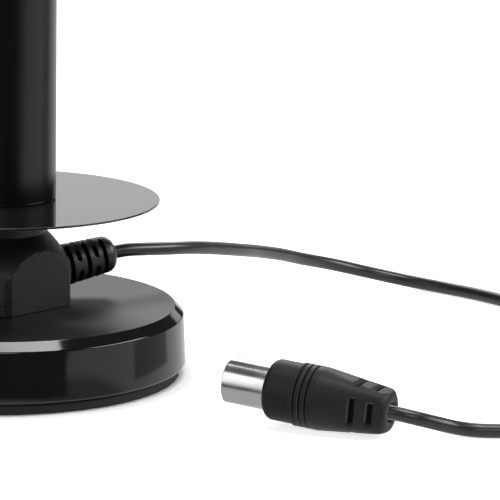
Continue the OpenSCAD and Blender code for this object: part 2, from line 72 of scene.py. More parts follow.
# Lead
# Coaxial lead, 3 mm across, in a satin black PVC sheath. It leaves the strain relief, comes down
# to the table, is wound into a coil in three layers and one more turn, and ends in the plug.
lead_d = 3 * mm
relief_tilt, relief_z, relief_reach = np.radians(8.4), 20.1, 28
relief_out = np.array([np.cos(relief_tilt), 0, np.sin(relief_tilt)])
relief_tip = np.array([0, 0, relief_z]) + relief_reach * relief_out
plug_turn, plug_dip, plug_len, tail_recess = np.radians(-53.6), np.radians(4.5), 36.5, 1.8
plug_out = np.array([np.cos(plug_turn) * np.cos(plug_dip), np.sin(plug_turn) * np.cos(plug_dip),
                     -np.sin(plug_dip)])
plug_front = np.array([25, -59, 8.3007])
plug_tail = plug_front + (plug_len - tail_recess) * plug_out
way_out = [[36, 0.2, 24.8], [42, 1, 24], [50, 4, 22.6], [60, 10, 20.8], [70, 17, 18.6],
           [80, 25, 15.9], [90, 32, 12.8], [100, 38, 9.4], [110, 41, 6.4], [119, 40, 3.9],
           [127, 34, 2.1], [132, 26, 1.5], [135, 17, 1.5], [137, 8, 1.5], [138, -1, 1.5],
           [137, -10, 1.5], [134, -18, 1.5], [130, -24.5, 1.5]]
# In the photograph the lead hangs a little lower than that: by how much, at which distances
settled_at, settled_by = [28, 35, 50, 75, 112], [0, 0.65, 0, 0.85, 0]
way_in = [[50.5, -92, 4.6], [54.5, -93, 3.4], [58.5, -93.5, 2.2], [62.5, -95, 1.5],
          [67, -98, 1.5], [73, -101, 1.5], [82, -100, 1.5], [91, -93.5, 1.5],
          [99.5, -84.5, 2.6], [107, -75.5, 4.9], [113, -66.5, 7.7], [117.6, -59.5, 9.7],
          [122.1, -51.1, 10.45]]
coil_x, coil_y, coil_start, coil_turns, turn_points = 145, -45, np.radians(154.4), 11, 20
tie_at, tie_thick, tie_width = np.radians(-25), 0.5, 8
tie_hump, tie_slope = 1.7, 0.55
lead_in_relief, lead_sides, path_parts = 1.5, 20, 6
# Turn counts at which the winding changes, with its radius and height there
wound_turns = [0, 3, 3.25, 6.25, 6.5, 9.5, 9.75, 11]
wound_radii = [22.5, 13.5, 13.5, 22.5, 22.5, 13.5, 13.5, 18]
wound_climbs = [(3, 3.25), (6.25, 6.5), (9.5, 9.75)]


def eased(x):
    """0 below 0 and 1 above 1, with a soft cubic step between."""
    x = np.clip(x, 0, 1)
    return x * x * (3 - 2 * x)


def unit(v):
    """Vectors of length 1 along v, taken row by row."""
    return v / np.linalg.norm(v, axis=-1, keepdims=True)


def winding(turns):
    """Points of the coil after so many turns: flat spirals in and out, one sheath thickness
    above another, lifted by the tie's thickness where the tie passes under them."""
    angle = coil_start + 2 * np.pi * turns
    radius = np.interp(turns, wound_turns, wound_radii)
    z = lead_d / mm * (0.5 + sum(eased((turns - a) / (b - a)) for a, b in wound_climbs))
    off_tie = np.angle(np.exp(1j * (angle - tie_at)))
    z = z + tie_thick * eased(tie_hump - np.abs(off_tie) / tie_slope)
    return np.stack([coil_x + radius * np.cos(angle), coil_y + radius * np.sin(angle), z], -1)


def smooth_path(points, parts):
    """Points along a cubic through the given ones, parts on each stretch. At each of them the
    cubic runs the way of the parabola through it and its two neighbours."""
    p = np.asarray(points, float)
    gap = np.linalg.norm(np.diff(p, axis=0), axis=1)[:, None]
    slope = np.diff(p, axis=0) / gap
    inner = (slope[:-1] * gap[1:] + slope[1:] * gap[:-1]) / (gap[:-1] + gap[1:])
    way = np.vstack([slope[:1], inner, slope[-1:]])
    t = (np.arange(parts) / parts)[:, None]
    a, b, wa, wb = (v[:, None] for v in (p[:-1], p[1:], way[:-1] * gap, way[1:] * gap))
    curve = ((2 * t**3 - 3 * t**2 + 1) * a + (3 * t**2 - 2 * t**3) * b
             + (t**3 - 2 * t**2 + t) * wa + (t**3 - t**2) * wb)
    return np.vstack([curve.reshape(-1, 3), p[-1:]])


def tube(path, outline):
    """Grid of an outline, given in a level and an upward coordinate, carried along a path. Each
    ring stands square to the path, and the ends draw together to one point."""
    along = unit(np.gradient(path, axis=0))
    side = unit(np.cross(along, [0, 0, 1]))
    rise = np.cross(side, along)
    rings = path[:, None] + outline[:, :1] * side[:, None] + outline[:, 1:] * rise[:, None]
    ends = [np.repeat(p[None, None], len(outline), axis=1) for p in (path[0], path[-1])]
    return np.concatenate([ends[0], rings, ends[1]])


def skin(name, grid, closed=False, cuts=None):
    """Mesh on a grid of points in millimetres, rows by columns. Four neighbours make a face and the
    columns close on themselves. So do the rows where closed is set; if not, the first and the last
    row are each one point. The UV map holds a column's share of the girth and the distance along
    the rows in metres. The faces are turned so that the volume inside is positive. cuts is how far
    each point of the grid lies in a slot or groove, from 0 to 1, for the painted shade that the
    material puts there."""
    rows, cols = grid.shape[:2]
    ends = 0 if closed else 1
    ring = np.arange(rows * cols).reshape(rows, cols)[ends:rows - ends]
    below = ring if closed else ring[:-1]
    above = np.roll(ring, -1, axis=0) if closed else ring[1:]
    quads = np.stack([below, np.roll(below, -1, 1), np.roll(above, -1, 1), above], -1)
    quads = quads.reshape(-1, 4)
    first, last = np.full(cols, ring.min()), np.full(cols, rows * cols - 1)
    fans = [np.stack([first - cols, np.roll(ring[0], -1), ring[0]], -1),
            np.stack([last, ring[-1], np.roll(ring[-1], -1)], -1)] if ends else []
    faces = np.concatenate([quads.ravel()] + [f.ravel() for f in fans])
    sizes = np.concatenate([np.full(len(quads), 4)] + [np.full(len(f), 3) for f in fans])
    xyz = grid.reshape(-1, 3) * mm
    a, b, c = (xyz[quads[:, k]] for k in (0, 1, 2))
    inside_out = (a * np.cross(b, c)).sum() + (a * np.cross(c, xyz[quads[:, 3]])).sum() < 0
    run = np.linalg.norm(np.diff(grid, axis=0), axis=-1).mean(axis=1).cumsum() * mm
    column, row = faces % cols, faces // cols
    starts = np.concatenate([[0], np.cumsum(sizes)[:-1]])
    spans = np.repeat(np.maximum.reduceat(column, starts) - np.minimum.reduceat(column, starts),
                      sizes)
    share = np.where((spans > cols / 2) & (column < cols / 2), column + cols, column) / cols
    uv = np.stack([share, np.concatenate([[0], run])[row]], -1)
    if inside_out:
        order = np.arange(len(faces))
        order = starts.repeat(sizes) + (starts + sizes - 1).repeat(sizes) - order
        faces, uv = faces[order], uv[order]
    used, faces = np.unique(faces, return_inverse=True)
    mesh = bpy.data.meshes.new(name)
    mesh.vertices.add(len(used))
    mesh.vertices.foreach_set("co", xyz[used].ravel())
    mesh.loops.add(len(faces))
    mesh.loops.foreach_set("vertex_index", faces.ravel().astype(np.int32))
    mesh.polygons.add(len(sizes))
    mesh.polygons.foreach_set("loop_start", starts.astype(np.int32))
    mesh.uv_layers.new(name="around_and_along").uv.foreach_set("vector", uv.ravel())
    if cuts is not None:
        mesh.attributes.new("cut", "FLOAT", "POINT").data.foreach_set("value", cuts.ravel()[used])
    mesh.update(calc_edges=True)
    mesh.shade_smooth()
    piece = bpy.data.objects.new(name, mesh)
    bpy.context.collection.objects.link(piece)
    return piece


def finished(piece, slot, material, *nodes):
    """Gives a piece its material and hides the CAD nodes it stands for. slot, its place in the
    record, is not used.
    """
    piece.data.materials.append(material)
    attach(piece, "root")
    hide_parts(*nodes)
    return piece


def node_group(name, inputs, outputs):
    """Empty shader node group with number inputs, as name and default, and named outputs."""
    group = bpy.data.node_groups.new(name, "ShaderNodeTree")
    vector = group.interface.new_socket("Vector", in_out="INPUT", socket_type="NodeSocketVector")
    vector.description = "Where the pattern is read, in metres"
    for socket, default in inputs:
        made = group.interface.new_socket(socket, in_out="INPUT", socket_type="NodeSocketFloat")
        made.default_value = default
    for socket in outputs:
        group.interface.new_socket(socket, in_out="OUTPUT", socket_type="NodeSocketFloat")
    return group, group.nodes.new("NodeGroupInput"), group.nodes.new("NodeGroupOutput")


def node(tree, kind, values=(), **settings):
    """New node of a kind in a tree. Its sockets take values, a number or another node's output."""
    made = tree.nodes.new("ShaderNode" + kind)
    for key, value in settings.items():
        setattr(made, key, value)
    for socket, value in dict(values).items():
        if isinstance(value, bpy.types.NodeSocket):
            tree.links.new(value, made.inputs[socket])
        else:
            made.inputs[socket].default_value = value
    return made


def blend(tree, share, a, b):
    """Output of a new colour mix from a to b. Each is a colour or another node's output."""
    return node(tree, "Mix", {0: share, 6: a, 7: b}, data_type="RGBA").outputs[2]


def ramp(tree, value, zero_at, one_at, low=0, high=1):
    """Output of a new node that runs from low to high as the value goes between two others."""
    return node(tree, "MapRange", {"Value": value, "From Min": zero_at, "From Max": one_at,
                                   "To Min": low, "To Max": high}).outputs[0]


# Moulding grain: the fine spark-eroded texture that a mould leaves, as fine cells on soft waves
wave_scale, wave_share = 90, 0.3
grain, grain_in, grain_out = node_group("moulding_grain", [("Size", 0.3)], ["Height"])
grain_step = node(grain, "Math", {0: 1000, 1: grain_in.outputs["Size"]}, operation="DIVIDE")
grain_fine = node(grain, "TexNoise", {"Vector": grain_in.outputs["Vector"],
                                      "Scale": grain_step.outputs[0], "Detail": 2})
grain_cell = node(grain, "TexVoronoi", {"Vector": grain_in.outputs["Vector"],
                                        "Scale": grain_step.outputs[0]})
grain_wide = node(grain, "TexNoise", {"Vector": grain_in.outputs["Vector"],
                                      "Scale": wave_scale, "Detail": 1})
grain_mix = node(grain, "Math", {0: grain_fine.outputs["Fac"],
                                 1: grain_cell.outputs["Distance"]}, operation="ADD")
grain_sum = node(grain, "Math", {0: grain_wide.outputs["Fac"], 1: wave_share,
                                 2: grain_mix.outputs[0]}, operation="MULTIPLY_ADD")
grain.links.new(grain_sum.outputs[0], grain_out.inputs["Height"])

# Handling: soft patches where a surface was touched, with a few fine specks of dust on top
speck_scale, speck_core, speck_rim = 620, 0.02, 0.1
dusty_scale, dusty_from, dusty_to = 210, 0.62, 0.7
touch, touch_in, touch_out = node_group("handling", [("Patch", 60), ("Dust", 0.5)],
                                        ["Patches", "Specks"])
touch_patch = node(touch, "TexNoise", {"Vector": touch_in.outputs["Vector"],
                                       "Scale": touch_in.outputs["Patch"], "Detail": 4,
                                       "Distortion": 0.4})
touch_speck = node(touch, "TexVoronoi", {"Vector": touch_in.outputs["Vector"],
                                         "Scale": speck_scale})
touch_small = ramp(touch, touch_speck.outputs["Distance"], speck_core, speck_rim, 1, 0)
touch_where = node(touch, "TexNoise", {"Vector": touch_in.outputs["Vector"],
                                       "Scale": dusty_scale})
touch_some = ramp(touch, touch_where.outputs["Fac"], dusty_from, dusty_to)
touch_both = node(touch, "Math", {0: touch_small, 1: touch_some}, operation="MULTIPLY")
touch_share = node(touch, "Math", {0: touch_both.outputs[0], 1: touch_in.outputs["Dust"]},
                   operation="MULTIPLY")
touch.links.new(touch_patch.outputs["Fac"], touch_out.inputs["Patches"])
touch.links.new(touch_share.outputs[0], touch_out.inputs["Specks"])
patch_low, patch_high = 0.3, 0.7
# The second colour is black, painted into slots and grooves as shade
dust_grey, painted_slot_shade = (0.22, 0.22, 0.21, 1), (0.001, 0.001, 0.001, 1)


def moulded(name, dark, light, rough, grain_size, grain_depth, specular, dust=0.5):
    """Material of a moulded plastic or rubber: a colour that wanders between dark and light,
    roughness between two values, grain as bump and a few specks of dust. Where a mesh says that it
    is cut, in a slot or a groove, the colour is painted black as shade and the surface is dull."""
    material = bpy.data.materials.new(name)
    material.use_nodes = True
    tree = material.node_tree
    shader = tree.nodes["Principled BSDF"]
    shader.inputs["Specular IOR Level"].default_value = specular
    place = node(tree, "TexCoord").outputs["Object"]
    hand = node(tree, "Group", node_tree=touch)
    hand.inputs["Dust"].default_value = dust
    cells = node(tree, "Group", node_tree=grain)
    cells.inputs["Size"].default_value = grain_size
    for each in (hand, cells):
        tree.links.new(place, each.inputs["Vector"])
    tone = blend(tree, hand.outputs["Patches"], (*dark, 1), (*light, 1))
    dusty = blend(tree, hand.outputs["Specks"], tone, dust_grey)
    # Painted shade: black where the mesh lies in a slot or a groove
    cut = node(tree, "Attribute", attribute_name="cut").outputs["Fac"]
    shaded = blend(tree, cut, dusty, painted_slot_shade)
    gloss = ramp(tree, hand.outputs["Patches"], patch_low, patch_high, *rough)
    dull = node(tree, "Math", {0: gloss, 1: cut}, operation="MAXIMUM")
    bump = node(tree, "Bump", {"Height": cells.outputs["Height"], "Strength": 1,
                               "Distance": grain_depth * mm})
    tree.links.new(shaded, shader.inputs["Base Color"])
    tree.links.new(dull.outputs[0], shader.inputs["Roughness"])
    tree.links.new(bump.outputs[0], shader.inputs["Normal"])
    return material


coil_steps = np.arange(coil_turns * turn_points + 1) / turn_points
way_out = np.vstack([[relief_tip + d * relief_out for d in (0, 1.5, 4)], way_out])
way_out[:, 2] -= np.interp(way_out[:, 0], settled_at, settled_by)
lead_points = np.vstack([[relief_tip - lead_in_relief * relief_out], way_out,
                         winding(coil_steps), way_in[::-1],
                         [plug_tail + d * plug_out for d in (3.5, 1.5, 0, -1.2)]])
lead_line = smooth_path(lead_points, path_parts)
girth = 2 * np.pi * np.arange(lead_sides) / lead_sides
lead_ring = lead_d / mm / 2 * np.stack([np.cos(girth), np.sin(girth)], -1)
lead_pvc = moulded("lead_pvc", dark=(0.012, 0.012, 0.0125), light=(0.02, 0.02, 0.0205),
                   rough=(0.28, 0.36), grain_size=0.25, grain_depth=0.004, specular=0.5, dust=0.35)
lead = finished(skin("lead", tube(lead_line, lead_ring)), "lead_pvc", lead_pvc,
                "lead_out", "lead_coil", "lead_in")


# Floor
# Plain white table top. It shows white to the camera by a glow that fades out towards the base,
# which paints shade round the base on top of the soft shadow that it keeps there.
# Mirror-like surfaces see a painted reflection of a studio in it instead: a bright ring close to
# the base, bright fields with straight edges behind it, at the right and in front of the plug, and
# a dark room elsewhere.
floor_half, floor_drop = 3, 0.02 * mm
paint_white, glow_most, glow_from, glow_full = 0.8, 0.75, 42 * mm, 52 * mm
# Brightness of the painted reflection in the floor: the dark room, the field at the right and the
# spot at the plug, and how soft its edges are
painted_dark_room, painted_right_light, painted_plug_light, edge_soft = 0.06, 0.4, 0.42, 2 * mm
ring_in, ring_out, front_in, front_out = 62 * mm, 66 * mm, 190 * mm, 210 * mm
plug_spot, plug_spot_in, plug_spot_out = (36 * mm, -56 * mm, 0), 18 * mm, 28 * mm
# Straight edges: the field lies that way, across and away from the camera, beyond a distance
right_edge, back_edge, front_edge = (1.151, 1, -14.3), (-0.7, 1, -36.4), (-1, -0.35, 55)
wedge_edges = (0.636, 1, -46.1), (0.024, -1, 29.3), (0.294, -1, 54.1)
floor_mesh = bpy.data.meshes.new("table_top")
floor_corners = [(x * floor_half, y * floor_half, -floor_drop)
                 for x, y in ((-1, -1), (1, -1), (1, 1), (-1, 1))]
floor_mesh.from_pydata(floor_corners, [], [(0, 1, 2, 3)])
floor = bpy.data.objects.new("table_top", floor_mesh)
bpy.context.collection.objects.link(floor)
table_white = bpy.data.materials.new("table_white")
table_white.use_nodes = True
floor_tree = table_white.node_tree
floor_tree.nodes.remove(floor_tree.nodes["Principled BSDF"])
spot = node(floor_tree, "TexCoord").outputs["Object"]


def beyond(across, away, start):
    """Share of the floor beyond a straight edge. across and away are its direction as seen from
    the camera, and start is its distance in millimetres from the mast's axis that way."""
    way = unit(turned([across, away, 0], view_turn))
    along = node(floor_tree, "VectorMath", {0: spot, 1: tuple(way)}, operation="DOT_PRODUCT")
    return ramp(floor_tree, along.outputs["Value"], start * mm - edge_soft, start * mm + edge_soft)


def both(a, b, operation="MULTIPLY"):
    """Output of a new node that joins two shares of the floor."""
    return node(floor_tree, "Math", {0: a, 1: b}, operation=operation, use_clamp=True).outputs[0]


far = node(floor_tree, "VectorMath", {0: spot}, operation="LENGTH").outputs["Value"]
at_plug = tuple(turned(plug_spot, view_turn))
to_plug = node(floor_tree, "VectorMath", {0: spot, 1: at_plug}, operation="DISTANCE")
right_part = beyond(*right_edge)
wedge_back, wedge_front, wedge_right = (beyond(*edge) for edge in wedge_edges)
wedge = both(both(right_part, wedge_back), both(wedge_front, wedge_right, "MAXIMUM"))
ring = ramp(floor_tree, far, ring_out, ring_in)
painted_reflection_level = both(both(wedge, beyond(*back_edge), "MAXIMUM"), ring, "MAXIMUM")
painted_reflection_level = both(painted_reflection_level, both(right_part, painted_right_light), "MAXIMUM")
painted_reflection_level = both(painted_reflection_level, ramp(floor_tree, to_plug.outputs["Value"], plug_spot_in, plug_spot_out,
                           painted_plug_light))
front_part = both(beyond(*front_edge), ramp(floor_tree, far, front_out, front_in))
painted_reflection_level = both(painted_reflection_level, front_part, "MAXIMUM")
rays = node(floor_tree, "LightPath").outputs
white = (1, 1, 1, 1)
paint = node(floor_tree, "BsdfDiffuse", {"Color": (paint_white, paint_white, paint_white, 1)})
# Painted shade: no glow close to the base, full glow from 52 mm out
glow_and_painted_shade = ramp(floor_tree, far, glow_from, glow_full, 0, glow_most)
glow = node(floor_tree, "Emission", {"Color": white, "Strength": glow_and_painted_shade})
lit = node(floor_tree, "AddShader", {0: paint.outputs[0], 1: glow.outputs[0]})
painted_reflection_level = both(painted_reflection_level, painted_dark_room, "MAXIMUM")
# Painted reflection: mirror-like surfaces see this glow in the floor instead of its lit paint
painted_reflection = node(floor_tree, "Emission", {"Color": white, "Strength": painted_reflection_level})
seen = both(rays["Is Camera Ray"], rays["Is Transmission Ray"], "ADD")
half = node(floor_tree, "MixShader", {0: rays["Is Glossy Ray"], 1: paint.outputs[0],
                                      2: painted_reflection.outputs[0]})
shown = node(floor_tree, "MixShader", {0: seen, 1: half.outputs[0], 2: lit.outputs[0]})
floor_tree.links.new(shown.outputs[0], floor_tree.nodes["Material Output"].inputs["Surface"])
floor_mesh.materials.append(table_white)


# Light
# Five soft boxes round the aerial, a white wall behind that the disc mirrors, and a dim even
# surround. Each box has its place and aim in metres, right, away and up as the camera sees them,
# its width and height in metres and its radiance.
soft_boxes = {
    "box_above": ((0.11, -0.078, 0.6), (0, 0, 0), 0.28, 0.22, 12),
    "box_behind": ((0.1, 0.65, 0.42), (0, 0, 0), 0.5, 0.25, 4.6),
    "box_right": ((0.8, -0.08, 0.47), (0.05, 0, 0.01), 0.7, 0.3, 8.5),
    "box_front": ((0.03, -0.6, 0.34), (0.03, 0, 0), 0.18, 0.2, 5.5),
    "box_left": ((-0.75, -0.47, 0.42), (0.05, -0.04, 0.01), 0.5, 0.85, 1.6),
    "back_wall": ((-0.2, 1.4, 0.31), (-0.2, 0, 0.31), 2.4, 0.24, 1.05)}
surround_strength, steep = 0.05, 0.95


def soft_box(name, place, aim, width, height, radiance):
    """Area lamp of a given radiance that faces its aim. The camera doesn't see it."""
    lamp = bpy.data.lights.new(name, "AREA")
    lamp.shape, lamp.size, lamp.size_y = "RECTANGLE", width, height
    lamp.energy = radiance * np.pi * width * height
    box = bpy.data.objects.new(name, lamp)
    back = unit(turned(place, view_turn) - turned(aim, view_turn))
    upward = [0, 0, 1] if abs(back[2]) < steep else turned([0, 1, 0], view_turn)
    across = unit(np.cross(upward, back))
    axes = np.eye(4)
    axes[:3, :3] = np.stack([across, np.cross(back, across), back], 1)
    axes[:3, 3] = turned(place, view_turn)
    box.matrix_world = Matrix(axes.tolist())
    box.visible_camera = False
    bpy.context.collection.objects.link(box)


for name, box in soft_boxes.items():
    soft_box(name, *box)
world = bpy.data.worlds.new("surround")
world.use_nodes = True
world.node_tree.nodes["Background"].inputs["Color"].default_value = white
world.node_tree.nodes["Background"].inputs["Strength"].default_value = surround_strength
bpy.context.scene.world = world


# Base shell
# Round puck, injection moulded in glossy black plastic: a satin top, a polished chamfer and a
# slightly flared side. It is open below, where the plate and the foot close it.
base_r, rim_r, top_r, base_h, rim_drop = 41, 40.5, 38.5, 15.5, 2
edge_h, edge_in, shell_wall, shell_top, lip_h = 0.9, 1.3, 2.4, 2.5, 1.9
top_grain, top_rough, around = 7, 0.46, 256


def rounded(corners, radii, parts=5, hold=0.08):
    """Outline through corners in radius and height. Each corner but the first and the last is
    cut by a parabola that starts its radius away, with one more point just before and after."""
    c, r = np.asarray(corners, float), np.asarray(radii, float)[:, None]
    back, on = unit(c[:-2] - c[1:-1]), unit(c[2:] - c[1:-1])
    a, b = c[1:-1] + r * back, c[1:-1] + r * on
    t = np.linspace(0, 1, parts)[:, None, None]
    bend = (1 - t)**2 * a + 2 * t * (1 - t) * c[1:-1] + t**2 * b
    bend = np.concatenate([[a + hold * back], bend, [b + hold * on]])
    return np.vstack([c[:1], bend.transpose(1, 0, 2).reshape(-1, 2), c[-1:]])


def revolved(outline, sides=around):
    """Grid of an outline, in radius and height, turned once about the mast's axis."""
    turn = 2 * np.pi * np.arange(sides) / sides
    r, z = np.asarray(outline)[:, :1], np.asarray(outline)[:, 1:]
    return np.stack([r * np.cos(turn), r * np.sin(turn), z + 0 * turn], -1)


wall_low, wall_high, ceiling = base_r - shell_wall, rim_r - shell_wall, base_h - shell_top
shell_outline = rounded(
    [(0, base_h), (top_r, base_h), (rim_r, base_h - rim_drop), (base_r, lip_h + edge_h),
     (base_r - edge_in, lip_h), (wall_low, lip_h), (wall_high, ceiling), (0, ceiling)],
    [0.22, 0.22, 0.3, 0.2, 0.2, 1])
gloss_shell = moulded("gloss_shell", dark=(0.004, 0.004, 0.0042), light=(0.007, 0.007, 0.0072),
                      rough=(0.07, 0.1), grain_size=0.3, grain_depth=0.0006, specular=0.4,
                      dust=0.15)
tree = gloss_shell.node_tree
height = node(tree, "SeparateXYZ", {0: node(tree, "TexCoord").outputs["Object"]}).outputs["Z"]
top = ramp(tree, height, (base_h - 0.1) * mm, (base_h - 0.02) * mm)
smooth = tree.nodes["Principled BSDF"].inputs["Roughness"].links[0].from_socket
satin = node(tree, "Mix", {0: top, 2: smooth, 3: top_rough}).outputs[0]
tree.links.new(satin, tree.nodes["Principled BSDF"].inputs["Roughness"])
low = tree.nodes["Bump"].inputs["Height"].links[0].from_socket
gain = node(tree, "Mix", {0: top, 2: 1, 3: top_grain}).outputs[0]
high = node(tree, "Math", {0: low, 1: gain}, operation="MULTIPLY").outputs[0]
tree.links.new(high, tree.nodes["Bump"].inputs["Height"])
finished(skin("base_puck", revolved(shell_outline)), "gloss_shell", gloss_shell, "base_shell")


# Rubber foot
# Matte black rubber disc, moulded with a lip that carries the aerial and keeps it from sliding.
# It is pressed into the shell from below and covers the plate.
lip_r, foot_bevel, seat_z, seat_r = base_r - 1.4, 0.3, 3.0, wall_low - 0.2
foot_outline = rounded([(0, 0), (lip_r, 0), (lip_r, lip_h), (seat_r, lip_h), (seat_r, seat_z),
                        (0, seat_z)], [foot_bevel, 0.1, 0.1, 0.1])
foot_rubber = moulded("foot_rubber", dark=(0.018, 0.018, 0.018), light=(0.028, 0.028, 0.0275),
                      rough=(0.75, 0.9), grain_size=0.35, grain_depth=0.03, specular=0.2, dust=0.8)
finished(skin("foot_ring", revolved(foot_outline)), "foot_rubber", foot_rubber, "rubber_foot")


# Block
# Five-sided block in satin black plastic, screwed to the base: flat faces, narrow flats at the
# corners, a domed shoulder that cuts the faces in arches, and a round neck below the disc.
flat_r, corner_w, neck_r, disc_z = 13.2, 1.6, 10.4, 38.3
shoulder_top, shoulder_h, shoulder_bulge, shoulder_out = disc_z - 6.7, 10, 0.8, 0.8
corner_soft, arch_soft, foot_edge, face_count = 0.06, 0.09, 0.25, 5
# Steps of its mesh: across a face, near each edge and up to how many degrees from it, along the
# curve of the shoulder, and up the foot, the wall, the shoulder and the neck
face_steps, edge_steps, edge_reach, curve_steps = 56, 9, 1.4, 17
foot_steps, wall_steps, shoulder_steps, neck_steps = 8, 24, 150, 20
sector = np.pi / face_count
corner_r = flat_r * np.cos(sector) + (flat_r * np.tan(sector)
                                      - corner_w / 2 / np.cos(sector)) * np.sin(sector)


def softest(a, b, k):
    """The smaller of a and b, with the edge between them rounded over about k."""
    return -k * np.logaddexp(-a / k, -b / k)


def prism(angle, k):
    """Radius of a five-sided outline with a flat at angle 0 and its corners cut off."""
    off = np.abs((angle + sector) % (2 * sector) - sector)
    return softest(flat_r / np.cos(off), corner_r / np.cos(sector - off), k)


edge_angle = np.arctan2(flat_r * np.tan(sector) - corner_w / 2 / np.cos(sector), flat_r)
by_edge = np.radians(np.linspace(-edge_reach, edge_reach, edge_steps))
near_edge = np.concatenate([by_edge - edge_angle, by_edge + edge_angle])
on_face = np.linspace(-sector, sector, face_steps)[:-1]
sector_angles = np.unique(np.concatenate([on_face, near_edge]))
block_angles = np.concatenate([sector_angles + 2 * sector * k for k in range(face_count)])
rise = np.linspace(0, 1, curve_steps)
shoulder_r, shoulder_z = corner_r + shoulder_out, shoulder_top - shoulder_h
shoulder_line = np.array([shoulder_r, shoulder_z]) + rise[:, None] * (
    np.array([neck_r, shoulder_top]) - [shoulder_r, shoulder_z])
slope_out = unit(np.array([shoulder_h, shoulder_r - neck_r]))
shoulder_line = shoulder_line + 4 * shoulder_bulge * (rise * (1 - rise))[:, None] * slope_out
block_z = np.concatenate([np.linspace(base_h, base_h + 0.4, foot_steps),
                          np.linspace(base_h + 0.5, shoulder_z, wall_steps),
                          np.linspace(shoulder_z + 0.06, shoulder_top + 1, shoulder_steps),
                          np.linspace(shoulder_top + 1.2, disc_z, neck_steps)])
cone_r = np.interp(block_z, shoulder_line[:, 1], shoulder_line[:, 0])
cone_r = np.where(block_z < shoulder_line[0, 1], corner_r + 3, cone_r)
above_foot = np.clip((block_z - base_h) / foot_edge, 0, 1)
foot_round = foot_edge * (1 - np.sqrt(1 - (1 - above_foot)**2))
block_r = softest(prism(block_angles[None], corner_soft), cone_r[:, None], arch_soft)
block_r = block_r - foot_round[:, None]
block_grid = np.stack([block_r * np.cos(block_angles), block_r * np.sin(block_angles),
                       block_z[:, None] + 0 * block_r], -1)
caps = [np.broadcast_to([0, 0, z], (1, len(block_angles), 3)) for z in (base_h, disc_z)]
satin_block = moulded("satin_block", dark=(0.011, 0.011, 0.0112), light=(0.018, 0.018, 0.0182),
                      rough=(0.36, 0.46), grain_size=0.5, grain_depth=0.07, specular=0.4, dust=0.4)
finished(skin("five_sided_block", np.concatenate([caps[0], block_grid, caps[1]])),
         "satin_block", satin_block, "socket_block")


# Ground disc
# Thin round sheet of aluminium with smooth black lacquer, in which the white room behind shows.
# It is punched, with a finely broken edge, and clamped between block and mast.
disc_r, disc_t, disc_hole, bore_step = 35, 0.5, 5.1, 0.05
disc_outline = rounded([(disc_hole, disc_z + disc_t / 2), (disc_hole, disc_z), (disc_r, disc_z),
                        (disc_r, disc_z + disc_t), (disc_hole, disc_z + disc_t),
                        (disc_hole, disc_z + disc_t / 2 + bore_step)],
                       [0.08, 0.12, 0.12, 0.08], hold=0.03)
disc_aluminium = moulded("disc_aluminium", dark=(0.006, 0.006, 0.0062), light=(0.01, 0.01, 0.0102),
                         rough=(0.03, 0.06), grain_size=0.5, grain_depth=0.0002, specular=0.55,
                         dust=0.1)
finished(skin("disc_sheet", revolved(disc_outline), closed=True), "disc_aluminium",
         disc_aluminium, "ground_disc")


# Mast
# Satin black tube with its collar, closed by a cap. The joint between collar and tube is filled
# and lacquered over; only the broken lower edge shows as a dark line on the disc.
mast_r, tube_in, collar_z, tube_top, total_h = 12.4, 11.2, 38.8, 237, 240
spigot_r, spigot_z, collar_floor, skirt_r, skirt_h = 9.9, collar_z + 14.5, collar_z + 2.2, 11.1, 8
tube_outline = rounded(
    [(disc_hole, collar_z + 1), (disc_hole, collar_z), (mast_r, collar_z), (mast_r, tube_top),
     (tube_in, tube_top), (tube_in, spigot_z), (spigot_r, spigot_z), (spigot_r, collar_floor),
     (disc_hole, collar_floor), (disc_hole, collar_z + 1.1)],
    [0.1, 0.6, 0.15, 0.1, 0.3, 0.2, 0.3, 0.1], hold=0.05)
cap_outline = rounded(
    [(0, tube_top), (spigot_r, tube_top), (spigot_r, tube_top - skirt_h),
     (skirt_r, tube_top - skirt_h), (skirt_r, tube_top), (mast_r, tube_top), (mast_r, total_h),
     (0, total_h)], [0.1, 0.1, 0.2, 0.05, 0.15, 1.9], parts=9, hold=0.05)
satin_mast = moulded("satin_mast", dark=(0.0015, 0.0015, 0.0016), light=(0.003, 0.003, 0.0031),
                     rough=(0.22, 0.28), grain_size=0.25, grain_depth=0.003, specular=0.4, dust=0.2)
finished(skin("mast_pipe", revolved(tube_outline), closed=True), "satin_mast", satin_mast,
         "mast_collar", "mast_tube")
finished(skin("mast_end", revolved(cap_outline)), "satin_mast", satin_mast, "mast_cap")


# Strain relief
# Soft black rubber sleeve moulded round the lead. Slots cut from both sides in turn let it
# bend, and their ends are round.
root_r, tip_r, tip_round, core_r = 4.75, 4.1, 2.0, 2.3
slot_first, slot_pitch, slot_w, slot_sweep = 16.1, 2.12, 0.95, np.radians(150)
relief_start, taper_start, slot_soft = 11.0, 13.34, 0.12
round_start, slot_count = relief_reach - tip_round, 5
# Steps of its mesh: round it, along it, near each edge of a slot and how near, and at the tip
relief_sides, body_steps, slot_steps, slot_reach, tip_steps = 240, 100, 9, 0.14, 14


def boxed(x, y, half_x, half_y, corner):
    """Signed distance from a rectangle with round corners, negative inside."""
    dx, dy = np.abs(x) - half_x + corner, np.abs(y) - half_y + corner
    return (np.hypot(np.maximum(dx, 0), np.maximum(dy, 0))
            + np.minimum(np.maximum(dx, dy), 0) - corner)


